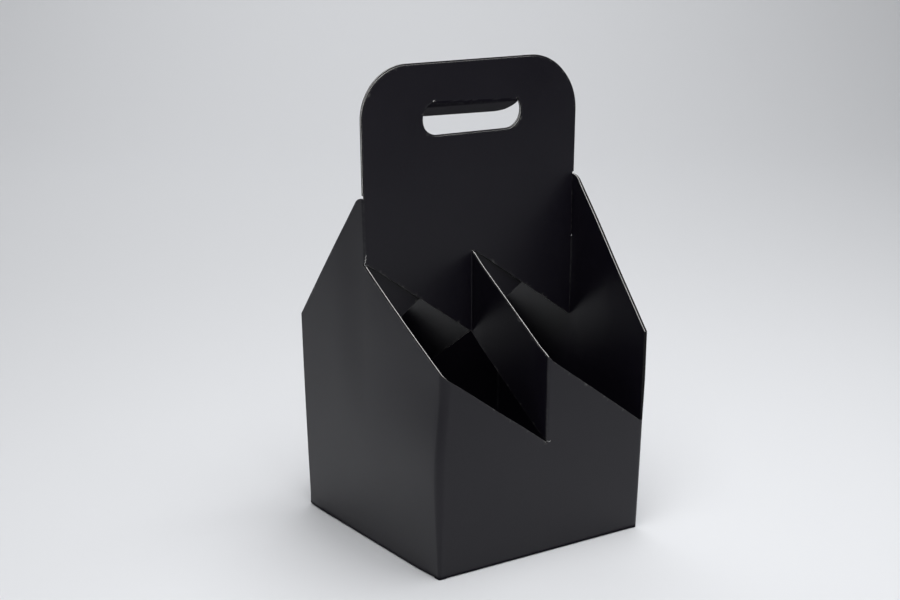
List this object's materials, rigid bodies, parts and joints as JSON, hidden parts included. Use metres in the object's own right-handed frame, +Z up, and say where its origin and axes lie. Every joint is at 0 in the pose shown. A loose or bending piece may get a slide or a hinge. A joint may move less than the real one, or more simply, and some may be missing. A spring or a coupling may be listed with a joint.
{
  "type": "bottle carrier",
  "caption": "Open-topped folded board carrier with crossed dividers, slanted cut edges and a tall flat handle with a round-ended hand hole.",
  "frame": {"origin": "middle of the base, on the surface that it stands on", "axes": "+Z up, +X along the front wall to the right, +Y from the front wall to the back wall"},
  "size_m": [0.18, 0.18, 0.336],
  "materials": {
    "board": "matte black face on both sides, pale core at the cut edges"
  },
  "bodies": {
    "root": {"carrier": "board"}
  },
  "joints": []
}
